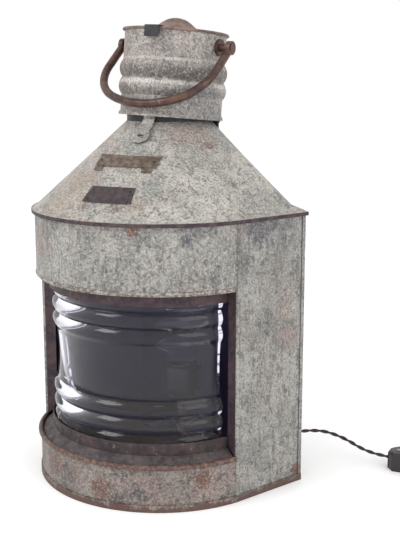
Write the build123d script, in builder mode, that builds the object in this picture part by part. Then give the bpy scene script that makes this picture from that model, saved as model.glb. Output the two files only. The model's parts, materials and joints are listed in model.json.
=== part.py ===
from build123d import *
from math import acos, atan2, cos, pi, radians, sin, tan
import os

# Ship lantern: galvanised case, ribbed bow lens, hinged chimney hood with a bail, and a mains flex.
# +Z is up and -Y is the front with the window. The origin is the centre of the bow, on the table.

os.makedirs("parts", exist_ok=True)

# ---- driving sizes, mm ----
case_r = 132.0          # bow of the case
window_half = 67.0      # half angle of the bow and its window, degrees
corner_x = 1.14 * case_r
corner_y = 0.26 * case_r
back_x = 0.70 * case_r
back_y = 0.70 * case_r
sheet = 1.2             # galvanised sheet
tray_h = 7.0
sill_z = 0.36 * case_r
head_z = 1.655 * case_r
eaves_z = 2.15 * case_r
neck_z = 2.826 * case_r
neck_r = 0.332 * case_r
neck_y = 0.114 * case_r
collar_h = 12.0
flange_over = 3.2       # roof edge past the walls
flange_in = 12.0
flange_t = 1.5
hem_h = 2.2
roof_out = 0.5          # foot of the roof past the walls at the front
roof_inset = 9.0        # foot of the roof inside the rear corners
sill_bead_r = 2.6
head_bead_r = 1.8
front_seam_r = 2.0      # half-round seams at the ends of the bow
rear_seam_w = 4.0
rear_seam_t = 0.8
plate_t = 1.2           # name plates

lens_r = 0.885 * case_r
lens_wall = 7.0
lens_low = 0.42 * case_r
lens_high = 1.60 * case_r
lens_half = 64.5
rib_pitch = 0.124 * case_r
rib_proud = 4.0
kerb_h = 10.0
kerb_r = lens_r + 1.0

banner_z = 0.54 * (neck_z - eaves_z) + eaves_z
banner_h = 10.0
banner_foot = (-19, 28)  # left and right ends as angles round the roof, at the bottom and the top
banner_head = (-23, 31)
tail_drop = 4.5
tails = (((-17, -10), (-20, -11)), ((19, 25), (18, 28)))
maker_z = 0.195 * (neck_z - eaves_z) + eaves_z
maker_h = 13.2
maker_span = (-7, 19)

hood_r = 0.40 * case_r
hood_h = 0.65 * case_r
hood_back_tilt = 4.5    # how far the hood stands open on its hinge, degrees
hood_lean = 2.0         # how far the old hood and its hinge lean to the right, degrees
hinge_reach = 58.5      # hinge pin behind the hood's axis
hood_back = 2.6         # hood's axis behind the neck's
hinge_z = 2.813 * case_r
hinge_leaf_h = 52.0
bulge = 3.2             # two corrugations round the hood
bulge_h = 0.135 * case_r
bulge_low = 0.155 * case_r
hem_out = 1.8
cap_peak_h = 15.5
cap_foot_r = 30.0
cap_bead_r = 1.3

ear_h = 72.5
bail_half = 0.50 * case_r
bail_depth = 0.645 * case_r
bail_rod_r = 4.2
bail_rest = 44.0        # angle of the folded bail from the hood's axis, degrees
stud_r = 4.0
pin_clearance = 0.06

flex_d = 4.0            # over both twisted strands
flex_exit_z = 29.0
exit_share = 0.74        # how far along the right rear wall the flex leaves
shank_r = 4.5           # strain relief through the wall
switch_size = (62.0, 26.0, 20.0)
switch_turn = 8.0       # heading of the switch and coil from +X, degrees
coil_r = 24.0           # middle of the turns
coil_w = 4 * flex_d     # four turns wide and three deep
coil_h = 3 * flex_d
coil_touch = 45.0       # from the switch to where the flex meets the coil
total_flex = 1800.0
relief_len = 20.0
relief_flange = 3.0
nut_h = 3.0
nut_gap = 0.2
plug_size = (36.0, 27.0, 14.0)
plug_neck = 12.0
plug_pin_len = 19.0
rocker_len = 17.0
rocker_w = 11.0
rocker_gap = 1.0
pocket_depth = 5.0
rocker_axis_depth = 2.0
rocker_pin_r = 0.8

clip_x = 8.0
clip_w = 17.0
clip_t = 1.0
clip_drop = 8.5
clip_hook = 7.0
leaf_half = 24.0
gap_half = 12.3
knuckle_r = 3.0
pin_r = 1.6
leaf_t = 1.5
strap_x = 7.0
strap_w = 13.0
strap_t = 1.5
strap_len = 16.0
strap_plate_r = 10.0
ear_r = 8.5
ear_t = 2.6
eye_r = 7.0
eye_t = 5.0
stud_play = 0.3
stud_head_r = 4.8
stud_head_t = 0.8
shoulder_r = 48.0
shoulder_turn = 65.0
lamp_at = (12.0, 20.0)
bracket_t = 2.0
bracket_hole_x = 36.0
holder_z = 66.0
bulb_r = 29.0
bulb_h = 78.0

floor_top = sheet
wall_h = eaves_z - floor_top
roof_low = eaves_z + flange_t
roof_foot_r = case_r + roof_out
slope_angle = atan2(neck_z - roof_low, case_r - neck_r + neck_y)    # the roof's front slope, radians
slope_proud = 1.0 / sin(slope_angle)


# ---- the case outline ----
def bow_point(radius, angle, centre_y=0.0):
    """A point at an angle from the front, positive to the right."""
    return (radius * sin(radians(angle)), centre_y - radius * cos(radians(angle)))


def grown_vertex(before, vertex, after, grow):
    """A corner of the outline moved outward so that both walls move by grow."""
    first = (Vector(*vertex) - Vector(*before)).normalized()
    second = (Vector(*after) - Vector(*vertex)).normalized()
    n1 = Vector(first.Y, -first.X)
    n2 = Vector(second.Y, -second.X)
    shift = (n1 + n2) * (grow / (1.0 + n1.dot(n2)))
    return (vertex[0] + shift.X, vertex[1] + shift.Y)


def case_points(grow=0.0, inset=0.0):
    """Seam, rear corner and back corner on the right side, grown outward, the rear corner set in first."""
    seam = bow_point(case_r, window_half)
    corner = (corner_x - inset, corner_y)
    back = (back_x, back_y)
    return [
        bow_point(case_r + grow, window_half),
        grown_vertex(seam, corner, back, grow),
        grown_vertex(corner, back, (-back_x, back_y), grow),
    ]


def case_outline(grow=0.0, inset=0.0):
    """Closed wire: the bow as an arc, then the straight walls."""
    right = case_points(grow, inset)
    left = [(-x, y) for x, y in reversed(right)]
    ThreePointArc(left[-1], (0, -(case_r + grow)), right[0])
    Polyline(*right, *left)


def case_section(height, grow, inset=0.0):
    with BuildSketch(Plane.XY.offset(height)) as section:
        with BuildLine():
            case_outline(grow, inset)
        make_face()
    return section.sketch


def neck_section(height, radius):
    """Circle split at the same places as the case outline, so that the roof's panels line up."""
    angles = [window_half, 104.0, 142.0]
    right = [bow_point(radius, a, neck_y) for a in angles]
    left = [(-x, y) for x, y in reversed(right)]
    with BuildSketch(Plane.XY.offset(height)) as section:
        with BuildLine():
            ThreePointArc(left[-1], bow_point(radius, 0.0, neck_y), right[0])
            for side in (1, -1):
                for a, b in zip(angles, angles[1:]):
                    ends = [bow_point(radius, side * v, neck_y) for v in (a, (a + b) / 2, b)]
                    ThreePointArc(*(ends if side > 0 else reversed(ends)))
            ThreePointArc(right[-1], (0, neck_y + radius), left[0])
        make_face()
    return section.sketch


def bow_plane(angle):
    """Upright plane through the Z axis: local x runs outward at that angle from the front."""
    x, y = bow_point(1.0, angle)
    return Plane(origin=(0, 0, 0), x_dir=(x, y, 0), z_dir=(y, -x, 0))


def bow_sweep(part_name, profile, half=window_half):
    """Turn a profile of (radius, height) points, plus beads, around the bow."""
    points, beads = profile
    with BuildPart() as piece:
        with BuildSketch(bow_plane(-half)):
            with BuildLine():
                Polyline(*points, close=True)
            make_face()
            for x, z, r in beads:
                with Locations((x, z)):
                    Circle(r)
        revolve(axis=Axis.Z, revolution_arc=2 * half)
    return save(piece, part_name)


saved = []


def save(piece, part_name):
    piece.part.label = part_name
    export_step(piece.part, f"parts/{part_name}.step")
    saved.append(part_name)
    return piece


# ---- where the flex leaves, on the right rear wall ----
corner_point, back_point = case_points()[1:]
exit_at = Vector(corner_point[0] + exit_share * (back_point[0] - corner_point[0]),
                 corner_point[1] + exit_share * (back_point[1] - corner_point[1]), flex_exit_z)
exit_out = Vector(1, 1, 0).normalized()
relief_plane = Plane(origin=exit_at, x_dir=(0, 0, 1), z_dir=exit_out)

# ---- base tray ----
with BuildPart() as base_tray:
    extrude(case_section(0, sheet), amount=tray_h)
    extrude(case_section(floor_top, 0), amount=tray_h - floor_top, mode=Mode.SUBTRACT)
save(base_tray, "base_tray")

# ---- front bands, sill and window head ----
bow_sweep("lower_front_band", (
    [(case_r - sheet, floor_top), (case_r, floor_top), (case_r, sill_z - 4), (case_r - sheet, sill_z - 4)],
    []))
bow_sweep("upper_front_band", (
    [(case_r - sheet, head_z + head_bead_r), (case_r, head_z + head_bead_r), (case_r, eaves_z),
     (case_r - sheet, eaves_z)], []))
bow_sweep("window_sill", (
    [(kerb_r - 12, lens_low - sheet - 0.4), (kerb_r, lens_low - sheet - 0.4), (case_r - sheet, sill_z - 2.5),
     (case_r - sheet, sill_z - 9), (case_r - 2 * sheet, sill_z - 9), (case_r - 2 * sheet, sill_z - 4),
     (kerb_r - 12, lens_low - 2 * sheet - 0.8)],
    [(case_r + 0.4, sill_z - 1.4, sill_bead_r)]))
bow_sweep("window_head", (
    [(lens_r - 14, lens_high + 2.6), (case_r - sheet, lens_high + 4.2), (case_r - sheet, head_z + 6),
     (case_r - 2 * sheet, head_z + 6), (case_r - 2 * sheet, lens_high + 5.4), (lens_r - 14, lens_high + 3.8)],
    [(case_r - head_bead_r / 2, head_z, head_bead_r)]))

# ---- lens and its rings ----
rib_tops = [lens_low + 3 * rib_pitch, lens_high - 3 * rib_pitch]
with BuildPart() as lens_glass:
    with BuildSketch(bow_plane(-lens_half)):
        with BuildLine():
            valley = lens_r - rib_proud
            for first in (lens_low, rib_tops[1]):
                for i in range(3):
                    z = first + i * rib_pitch
                    crest = (lens_r, z + rib_pitch / 2)
                    ThreePointArc((valley, z), crest, (valley, z + rib_pitch))
            ThreePointArc((valley, rib_tops[0]), (valley - 2.0, (rib_tops[0] + rib_tops[1]) / 2),
                          (valley, rib_tops[1]))
            Polyline((valley, lens_high), (valley - lens_wall, lens_high), (valley - lens_wall, lens_low),
                     (valley, lens_low))
        make_face()
    revolve(axis=Axis.Z, revolution_arc=2 * lens_half)
save(lens_glass, "lens_glass")
bow_sweep("lens_kerb", (
    [(kerb_r, lens_low - 1.2), (kerb_r + sheet, lens_low - 1.8), (kerb_r + sheet, lens_low + kerb_h),
     (kerb_r, lens_low + kerb_h)], []), window_half - 0.6)
bow_sweep("lens_top_ring", (
    [(kerb_r, lens_high - 8), (kerb_r + sheet, lens_high - 8), (kerb_r + sheet, lens_high + 2.6),
     (lens_r - 14, lens_high + 2.4), (lens_r - 14, lens_high + 0.4), (kerb_r, lens_high + 0.4)],
    []), window_half - 0.6)


# ---- walls, jambs and seams ----
def wall_panel(part_name, start, end, side, outlet=False):
    """Sheet between two corners of the outline, floor to eaves, with the flex outlet if asked."""
    outer = case_points()
    inner = case_points(-sheet)
    points = [outer[start], outer[end], inner[end], inner[start]]
    points = [(side * x, y) for x, y in points]
    with BuildPart() as piece:
        with BuildSketch(Plane.XY.offset(floor_top)):
            with BuildLine():
                Polyline(*points, close=True)
            make_face()
        extrude(amount=wall_h)
        if outlet:
            with BuildSketch(relief_plane.offset(-2 * sheet)):
                Circle(shank_r + 0.1)
            extrude(amount=4 * sheet, mode=Mode.SUBTRACT)
    return save(piece, part_name)


for side, hand in ((1, "right"), (-1, "left")):
    wall_panel(f"{hand}_side_panel", 0, 1, side)
    wall_panel(f"{hand}_rear_panel", 1, 2, side, outlet=side > 0)

with BuildPart() as back_panel:
    with BuildSketch(Plane.XY.offset(floor_top)):
        with BuildLine():
            outer_x, outer_y = case_points()[2]
            inner_x, inner_y = case_points(-sheet)[2]
            Polyline((outer_x, outer_y), (inner_x, inner_y), (-inner_x, inner_y), (-outer_x, outer_y),
                     close=True)
        make_face()
    extrude(amount=wall_h)
save(back_panel, "back_panel")

for side, hand in ((1, "right"), (-1, "left")):
    with BuildPart() as jamb:
        with BuildSketch(bow_plane(side * (window_half - 0.3))):
            with BuildLine():
                Polyline((kerb_r + sheet + 0.3, lens_low + 1), (case_r - sheet - 0.4, sill_z + 1.5),
                         (case_r - sheet - 0.4, lens_high + 3.8), (kerb_r + sheet + 0.3, lens_high + 2.4),
                         close=True)
            make_face()
        extrude(amount=-side * sheet)
    save(jamb, f"{hand}_window_jamb")

seam_low = tray_h + 0.5
seam_h = eaves_z - hem_h - 0.5 - seam_low
seam_point = Vector(*case_points()[0])
seam_centre = seam_point + (Vector(*case_points()[1]) - seam_point).normalized() * front_seam_r
with BuildPart() as front_seams:
    with BuildSketch(Plane.XY.offset(seam_low)):
        with Locations(*[(side * seam_centre.X, seam_centre.Y) for side in (1, -1)]):
            Circle(front_seam_r)
        add(case_section(seam_low, 0), mode=Mode.SUBTRACT)
    extrude(amount=seam_h)
save(front_seams, "front_seams")

with BuildPart() as rear_seams:
    with BuildSketch(Plane.XY.offset(seam_low)):
        add(case_section(seam_low, rear_seam_t))
        add(case_section(seam_low, 0), mode=Mode.SUBTRACT)
        corners = [(side * x, y) for side in (1, -1) for x, y in case_points()[1:]]
        with Locations(*corners):
            Circle(rear_seam_w, mode=Mode.INTERSECT)
    extrude(amount=seam_h)
save(rear_seams, "rear_seams")

# ---- roof ----
with BuildPart() as roof_flange:
    extrude(case_section(eaves_z - hem_h, flange_over), amount=hem_h + flange_t)
    extrude(case_section(eaves_z - hem_h, flange_over - sheet), amount=hem_h, mode=Mode.SUBTRACT)
    extrude(case_section(eaves_z, -flange_in), amount=flange_t, mode=Mode.SUBTRACT)
save(roof_flange, "roof_flange")


def roof_ends(thickness=0.0):
    """The roof's foot and neck sections, both drawn in by a thickness."""
    foot = case_section(roof_low, roof_out - 1.5 * thickness, roof_inset)
    return [foot.face(), neck_section(neck_z, neck_r - thickness).face()]


with BuildPart() as roof_cone:
    loft(roof_ends(), ruled=True)
    loft(roof_ends(sheet), ruled=True, mode=Mode.SUBTRACT)
save(roof_cone, "roof_cone")

with BuildPart() as neck_collar:
    with BuildSketch(Plane.XY.offset(neck_z)):
        with Locations((0, neck_y)):
            Circle(neck_r)
            Circle(neck_r - sheet, mode=Mode.SUBTRACT)
    extrude(amount=collar_h)
save(neck_collar, "neck_collar")


# ---- plates on the roof's front ----
def roof_ring(height, half, proud_low, proud_high):
    """Slice of the roof's front slope between two offsets, as a sketch at one height."""
    share = (height - roof_low) / (neck_z - roof_low)
    centre = share * neck_y
    radius = roof_foot_r + share * (neck_r - roof_foot_r)
    arcs = []
    with BuildSketch(Plane.XY.offset(height)) as ring:
        with BuildLine():
            for proud in (proud_low, proud_high):
                r = radius + proud * slope_proud
                arcs.append([bow_point(r, v, centre) for v in half])
                ThreePointArc(*arcs[-1])
            Line(arcs[0][0], arcs[1][0])
            Line(arcs[0][2], arcs[1][2])
        make_face()
    return ring.sketch


def roof_patch(low, high, low_span, high_span, thickness=plate_t):
    """Thin plate bent to the roof, with its left and right edges given as angles at each height."""
    seat = 0.06
    spans = [(a, (a + b) / 2, b) for a, b in (low_span, high_span)]
    ends = zip((low, high), spans)
    loft([roof_ring(height, span, seat, thickness).face() for height, span in ends], ruled=True)


with BuildPart() as upper_name_plate:
    roof_patch(banner_z, banner_z + banner_h, banner_foot, banner_head)
    for tail_foot, tail_head in tails:
        roof_patch(banner_z - tail_drop, banner_z + banner_h / 2, tail_foot, tail_head, plate_t * 0.7)
save(upper_name_plate, "upper_name_plate")

with BuildPart() as lower_name_plate:
    roof_patch(maker_z, maker_z + maker_h, maker_span, maker_span)
save(lower_name_plate, "lower_name_plate")


def slope_plane(height, angle=0.0, proud=0.0):
    """Plane lying on the roof's front slope, with local y up the slope."""
    share = (height - roof_low) / (neck_z - roof_low)
    radius = roof_foot_r + share * (neck_r - roof_foot_r) + proud * slope_proud
    x, y = bow_point(radius, angle, share * neck_y)
    across = bow_point(1.0, angle + 90)
    out = bow_point(sin(slope_angle), angle)
    return Plane(origin=(x, y, height), x_dir=(across[0], across[1], 0), z_dir=(*out, cos(slope_angle)))


with BuildPart() as plate_rivets:
    rows = [(banner_z + banner_h / 2, banner_foot)]
    rows += [(maker_z + share * maker_h, maker_span) for share in (0.2, 0.8)]
    for height, (left_end, right_end) in rows:
        for angle in (left_end + 2, right_end - 2):
            with BuildSketch(slope_plane(height, angle, plate_t)):
                Circle(1.2)
            extrude(amount=0.6)
save(plate_rivets, "plate_rivets")

# ---- hood frame: foot of the hood's axis, tilted back on its hinge and leaning right ----
tilt = radians(hood_back_tilt)
lean = radians(hood_lean)
hood_x = Vector(cos(lean), 0, -sin(lean))
hood_z = Vector(sin(lean) * cos(tilt), sin(tilt), cos(lean) * cos(tilt))
hood_y = hood_z.cross(hood_x)
hinge_at = Vector(0, neck_y + hood_back + hinge_reach, hinge_z)
hood_foot = hinge_at - hood_y * hinge_reach


def hood_point(x, y, z):
    return hood_foot + hood_x * x + hood_y * y + hood_z * z


def hood_plane(x=0.0, y=0.0, z=0.0):
    """Level plane in the hood's own frame."""
    return Plane(origin=hood_point(x, y, z), x_dir=hood_x, z_dir=hood_z)


def hood_upright(y=0.0):
    """Upright plane across the hood: local x is the hood's x, local y is its height."""
    return Plane(origin=hood_point(0, y, 0), x_dir=hood_x, z_dir=-hood_y)


def hood_side(x=0.0):
    """Upright plane fore and aft: local x runs to the back, local y is height, normal along hood x."""
    return Plane(origin=hood_point(x, 0, 0), x_dir=hood_y, z_dir=hood_x)


hood_axis = Axis(origin=tuple(hood_foot), direction=tuple(hood_z))


def hood_wall(radius):
    """Section of the hood from the axis out to its corrugated wall."""
    with BuildSketch(hood_upright()) as section:
        with BuildLine():
            Polyline((radius, bulge_low), (radius, 0), (0, 0), (0, hood_h), (radius, hood_h),
                     (radius, bulge_low + 2 * bulge_h))
            for low in (bulge_low, bulge_low + bulge_h):
                ThreePointArc((radius, low), (radius + bulge, low + bulge_h / 2), (radius, low + bulge_h))
        make_face()
    return section.sketch


with BuildPart() as hood_shell:
    revolve(hood_wall(hood_r), axis=hood_axis)
    revolve(hood_wall(hood_r - sheet), axis=hood_axis, mode=Mode.SUBTRACT)
save(hood_shell, "hood_shell")

with BuildPart() as hood_hem:
    with BuildSketch(hood_upright()):
        with BuildLine():
            Polyline((hood_r, 0), (hood_r + hem_out, -0.5), (hood_r + hem_out, 1.5), (hood_r, 5.0),
                     close=True)
        make_face()
    revolve(axis=hood_axis)
save(hood_hem, "hood_hem")

with BuildPart() as hood_cap:
    with BuildSketch(hood_upright()):
        with BuildLine():
            Polyline((0, hood_h), (hood_r + 0.6, hood_h), (hood_r + 0.6, hood_h + sheet),
                     (cap_foot_r, hood_h + 2 * sheet))
            Spline((cap_foot_r, hood_h + 2 * sheet), (cap_foot_r / 2, hood_h + 0.68 * cap_peak_h),
                   (0, hood_h + cap_peak_h), tangents=((-1, 0.12), (-1, 0)))
            Line((0, hood_h + cap_peak_h), (0, hood_h))
        make_face()
    revolve(axis=hood_axis)
    with BuildSketch(hood_upright()):
        with Locations((hood_r + cap_bead_r, hood_h + 0.5)):
            Circle(cap_bead_r)
    revolve(axis=hood_axis)
    with BuildSketch(hood_upright()):
        with BuildLine():
            Line((0, hood_h), (cap_foot_r - 5, hood_h))
            Line((cap_foot_r - 5, hood_h), (cap_foot_r - 5, hood_h + 1.0))
            Spline((cap_foot_r - 5, hood_h + 1.0), (cap_foot_r / 2 - 2, hood_h + 0.68 * cap_peak_h - 1.5),
                   (0, hood_h + cap_peak_h - 1.5), tangents=((-1, 0.12), (-1, 0)))
            Line((0, hood_h + cap_peak_h - 1.5), (0, hood_h))
        make_face()
    revolve(axis=hood_axis, mode=Mode.SUBTRACT)
save(hood_cap, "hood_cap")

clip_top = hood_h + 0.5 + cap_bead_r + clip_t / 2 + 0.1
clip_out = -(hood_r + 2 * cap_bead_r + clip_t / 2 + 0.1)
with BuildPart() as cap_clip:
    with BuildSketch(hood_side(clip_x)):
        with BuildLine():
            Polyline((clip_out + clip_hook, clip_top), (clip_out, clip_top), (clip_out, hood_h - clip_drop))
        trace(line_width=clip_t)
    extrude(amount=clip_w / 2, both=True)
save(cap_clip, "cap_clip")

# ---- hinge at the back of the neck ----
hinge_up = Plane(origin=hinge_at, x_dir=hood_x, z_dir=(0, -1, 0))


def along_hood_x(x, y=0.0, z=0.0):
    """Plane square to the hood's x axis, for pins, eyes and knuckles."""
    return Plane(origin=hood_point(x, y, z), x_dir=hood_y, z_dir=hood_x)


def knuckle(start, length, hole_r):
    with BuildSketch(along_hood_x(start, hinge_reach)) as ring:
        Circle(knuckle_r)
        Circle(hole_r, mode=Mode.SUBTRACT)
    extrude(ring.sketch, amount=length)


with BuildPart() as hinge_fixed_leaf:
    with BuildSketch(hinge_up):
        with BuildLine():
            Polyline((-leaf_half, -1), (-leaf_half, -hinge_leaf_h), (leaf_half, -hinge_leaf_h),
                     (leaf_half, -1), (gap_half, -1), (gap_half, -4.5), (-gap_half, -4.5), (-gap_half, -1),
                     close=True)
        make_face()
    extrude(amount=leaf_t / 2, both=True)
    for start in (-leaf_half, gap_half):
        with BuildSketch(along_hood_x(start, hinge_reach)):
            Circle(pin_r)
        extrude(amount=leaf_half - gap_half, mode=Mode.SUBTRACT)
        knuckle(start, leaf_half - gap_half, pin_r)
    loft(roof_ends(), ruled=True, mode=Mode.SUBTRACT)
save(hinge_fixed_leaf, "hinge_fixed_leaf")

with BuildPart() as hinge_hood_leaf:
    with BuildSketch(hood_upright(hood_r + 2.0)):
        with Locations((0, 8.5)):
            Rectangle(2 * gap_half - 0.6, 17)
    extrude(amount=-leaf_t)
    with BuildSketch(along_hood_x(-gap_half + 0.3, hinge_reach)):
        Circle(pin_r + pin_clearance)
    extrude(amount=2 * gap_half - 0.6, mode=Mode.SUBTRACT)
    knuckle(-gap_half + 0.3, 2 * gap_half - 0.6, pin_r + pin_clearance)
save(hinge_hood_leaf, "hinge_hood_leaf")

with BuildPart() as hinge_pin:
    with BuildSketch(along_hood_x(-leaf_half - 1.2, hinge_reach)):
        Circle(pin_r)
    extrude(amount=2 * leaf_half + 2.4)
save(hinge_pin, "hinge_pin")

with BuildPart() as hood_leaf_rivets:
    for x in (-7, 7):
        with BuildSketch(Plane(origin=hood_point(x, hood_r - 1.5, 12), x_dir=hood_x, z_dir=hood_y)):
            Circle(1.8)
        extrude(amount=6.0)
    revolve(hood_wall(hood_r), axis=hood_axis, mode=Mode.SUBTRACT)
    with BuildSketch(hood_upright(hood_r + 2.0)):
        with Locations((0, 8.5)):
            Rectangle(2 * gap_half - 0.6, 17)
    extrude(amount=-leaf_t, mode=Mode.SUBTRACT)
save(hood_leaf_rivets, "hood_leaf_rivets")

# ---- hasp strap, riveted inside the hood and resting just over the roof ----
strap_side = strap_x + strap_w / 2
wall_in = -(((hood_r - sheet) ** 2 - strap_side ** 2) ** 0.5 - strap_t)
strap_top = hood_point(0, wall_in, 11)
strap_bend = hood_point(0, wall_in, -2.5)
drop = tan(slope_angle)
land_y = strap_bend.Y - 4.0
land_z = neck_z - (neck_y - neck_r - land_y) * drop + 2.4
strap_end = Vector(strap_x, land_y - strap_len * cos(slope_angle), land_z - strap_len * sin(slope_angle))
with BuildPart() as hasp_strap:
    with BuildSketch(Plane.YZ.offset(strap_x)):
        with BuildLine():
            Polyline((strap_top.Y, strap_top.Z), (strap_bend.Y, strap_bend.Z), (land_y, land_z),
                     (strap_end.Y, strap_end.Z))
        trace(line_width=strap_t)
    extrude(amount=strap_w / 2, both=True)
    plate_plane = Plane(origin=strap_end, x_dir=(1, 0, 0), z_dir=(0, -sin(slope_angle), cos(slope_angle)))
    with BuildSketch(plate_plane.offset(-strap_t / 2)):
        Circle(strap_plate_r)
    extrude(amount=strap_t)
    with BuildSketch(plate_plane.offset(-2)):
        SlotOverall(7.5, 3.8)
    extrude(amount=4, mode=Mode.SUBTRACT)
save(hasp_strap, "hasp_strap")

with BuildPart() as hasp_rivets:
    for x in (strap_x - 4, strap_x + 4):
        with BuildSketch(Plane(origin=hood_point(x, -(hood_r - 3), 7), x_dir=hood_x, z_dir=-hood_y)):
            Circle(1.6)
        extrude(amount=4.0)
    revolve(hood_wall(hood_r), axis=hood_axis, mode=Mode.SUBTRACT)
save(hasp_rivets, "hasp_rivets")

# ---- ears, studs and the bail ----
for side, hand in ((1, "right"), (-1, "left")):
    with BuildPart() as ear:
        with BuildSketch(along_hood_x(side * (hood_r - 2.0), 0, ear_h)):
            Circle(ear_r)
        extrude(amount=side * (2.0 + ear_t))
        revolve(hood_wall(hood_r), axis=hood_axis, mode=Mode.SUBTRACT)
    save(ear, f"{hand}_ear")
    with BuildPart() as stud:
        with BuildSketch(along_hood_x(side * (hood_r + ear_t), 0, ear_h)):
            Circle(stud_r)
        extrude(amount=side * (bail_half + eye_t / 2 + stud_play - hood_r - ear_t))
        with BuildSketch(along_hood_x(side * (bail_half + eye_t / 2 + stud_play), 0, ear_h)):
            Circle(stud_head_r)
        extrude(amount=side * stud_head_t)
    save(stud, f"{hand}_bail_stud")

fold = radians(bail_rest)
bail_down = hood_y * -sin(fold) + hood_z * -cos(fold)
bail_plane = Plane(origin=hood_point(0, 0, ear_h), x_dir=hood_x, z_dir=hood_x.cross(bail_down))
turn = radians(shoulder_turn)
crown_r = (bail_half - shoulder_r * (1 - cos(turn))) / cos(turn)
leg = bail_depth - shoulder_r * sin(turn) - crown_r * (1 - sin(turn))
with BuildPart() as bail:
    with BuildLine(bail_plane) as hoop:
        Line((bail_half, eye_r - 1.2), (bail_half, leg))
        CenterArc((bail_half - shoulder_r, leg), shoulder_r, 0, shoulder_turn)
        CenterArc((0, bail_depth - crown_r), crown_r, shoulder_turn, 180 - 2 * shoulder_turn)
        CenterArc((shoulder_r - bail_half, leg), shoulder_r, 180 - shoulder_turn, shoulder_turn)
        Line((-bail_half, leg), (-bail_half, eye_r - 1.2))
    with BuildSketch(Plane(origin=hoop.line @ 0, z_dir=hoop.line % 0)):
        Circle(bail_rod_r)
    sweep(path=hoop.line)
    for side in (1, -1):
        with BuildSketch(along_hood_x(side * bail_half - eye_t / 2, 0, ear_h)):
            Circle(eye_r)
        extrude(amount=eye_t)
    for side in (1, -1):
        with BuildSketch(along_hood_x(side * bail_half - eye_t, 0, ear_h)):
            Circle(stud_r + pin_clearance)
        extrude(amount=2 * eye_t, mode=Mode.SUBTRACT)
save(bail, "bail")

# ---- lamp inside ----
def lamp_round(part_name, points, hollow=None):
    """Turned part on the lamp's own upright axis, from (radius, height) corners."""
    plane = Plane(origin=(*lamp_at, 0), x_dir=(1, 0, 0), z_dir=(0, -1, 0))
    axis = Axis(origin=(*lamp_at, 0), direction=(0, 0, 1))
    with BuildPart() as piece:
        for corners, mode in ((points, Mode.ADD), (hollow, Mode.SUBTRACT)):
            if corners:
                with BuildSketch(plane) as turned:
                    with BuildLine():
                        Polyline(*corners, close=True)
                    make_face()
                revolve(turned.sketch, axis=axis, mode=mode)
    return save(piece, part_name)


bracket_top = floor_top + bracket_t
bracket_holes = [(lamp_at[0] + x, lamp_at[1]) for x in (-bracket_hole_x, bracket_hole_x)]
with BuildPart() as lamp_bracket:
    with BuildSketch(Plane.XY.offset(floor_top)):
        with Locations(lamp_at):
            Rectangle(90, 28)
        with Locations(*bracket_holes):
            Circle(2.2, mode=Mode.SUBTRACT)
    extrude(amount=bracket_t)
save(lamp_bracket, "lamp_bracket")

with BuildPart() as bracket_screws:
    with BuildSketch(Plane.XY.offset(floor_top)):
        with Locations(*bracket_holes):
            Circle(2.2)
    extrude(amount=bracket_t)
    with BuildSketch(Plane.XY.offset(bracket_top)):
        with Locations(*bracket_holes):
            Circle(3.6)
    extrude(amount=2.0)
save(bracket_screws, "bracket_screws")

lamp_round("lamp_stem", [(0, bracket_top), (5, bracket_top), (5, holder_z), (0, holder_z)])
lamp_round("lamp_holder", [(0, holder_z), (12, holder_z), (17, holder_z + 6), (20, holder_z + 14),
                           (20, holder_z + 44), (17.5, holder_z + 46), (0, holder_z + 46)],
           [(0, holder_z + 16), (13.6, holder_z + 16), (13.6, holder_z + 47), (0, holder_z + 47)])
lamp_round("bulb_cap", [(0, holder_z + 18), (6, holder_z + 18), (13.2, holder_z + 23), (13.2, holder_z + 47),
                        (0, holder_z + 47)])
bulb_z = holder_z + 47
with BuildPart() as bulb_glass:
    with BuildSketch(Plane(origin=(*lamp_at, 0), x_dir=(1, 0, 0), z_dir=(0, -1, 0))):
        with BuildLine():
            Line((0, bulb_z), (12.6, bulb_z))
            Spline((12.6, bulb_z), (18, bulb_z + 18), (bulb_r, bulb_z + 48), (0, bulb_z + bulb_h),
                   tangents=((0, 1), (-1, 0)))
            Line((0, bulb_z + bulb_h), (0, bulb_z))
        make_face()
    revolve(axis=Axis(origin=(*lamp_at, 0), direction=(0, 0, 1)))
save(bulb_glass, "bulb_glass")

# ---- flex, from the strain relief through the switch to the coil and the plug ----
nut_depth = sheet + nut_gap + nut_h
with BuildPart() as strain_relief:
    with BuildSketch(relief_plane.offset(-nut_depth)):
        Circle(shank_r)
    extrude(amount=nut_depth)
    with BuildSketch(relief_plane):
        Circle(8.0)
    extrude(amount=relief_flange)
    with BuildSketch(relief_plane.offset(relief_flange)):
        Circle(5.4)
    with BuildSketch(relief_plane.offset(relief_len)):
        Circle(3.0)
    loft()
save(strain_relief, "strain_relief")

with BuildPart() as relief_nut:
    with BuildSketch(relief_plane.offset(-nut_depth)):
        RegularPolygon(8.0, 6)
        Circle(shank_r + 0.05, mode=Mode.SUBTRACT)
    extrude(amount=nut_h)
save(relief_nut, "relief_nut")


def flex_tube(part_name, points):
    """Round flex along straight runs joined by arcs as large as the runs allow."""
    points = [Vector(*p) for p in points]
    radii = []
    for a, b, c in zip(points, points[1:], points[2:]):
        angle = acos(max(-1.0, min(1.0, (b - a).normalized().dot((c - b).normalized()))))
        radii.append(0.45 * min((b - a).length, (c - b).length) / tan(angle / 2))
    print(part_name, "radii", [round(r, 1) for r in radii])
    with BuildPart() as piece:
        with BuildLine():
            route = FilletPolyline(*points, radius=radii) if radii else Line(*points)
        with BuildSketch(Plane(origin=route @ 0, z_dir=route % 0)):
            Circle(flex_d / 2)
        sweep(path=route)
    length = route.length
    print(part_name, "length", round(length, 1), "volume ratio",
          round(piece.part.volume / (pi * flex_d ** 2 / 4 * length), 4))
    save(piece, part_name)
    return length


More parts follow.
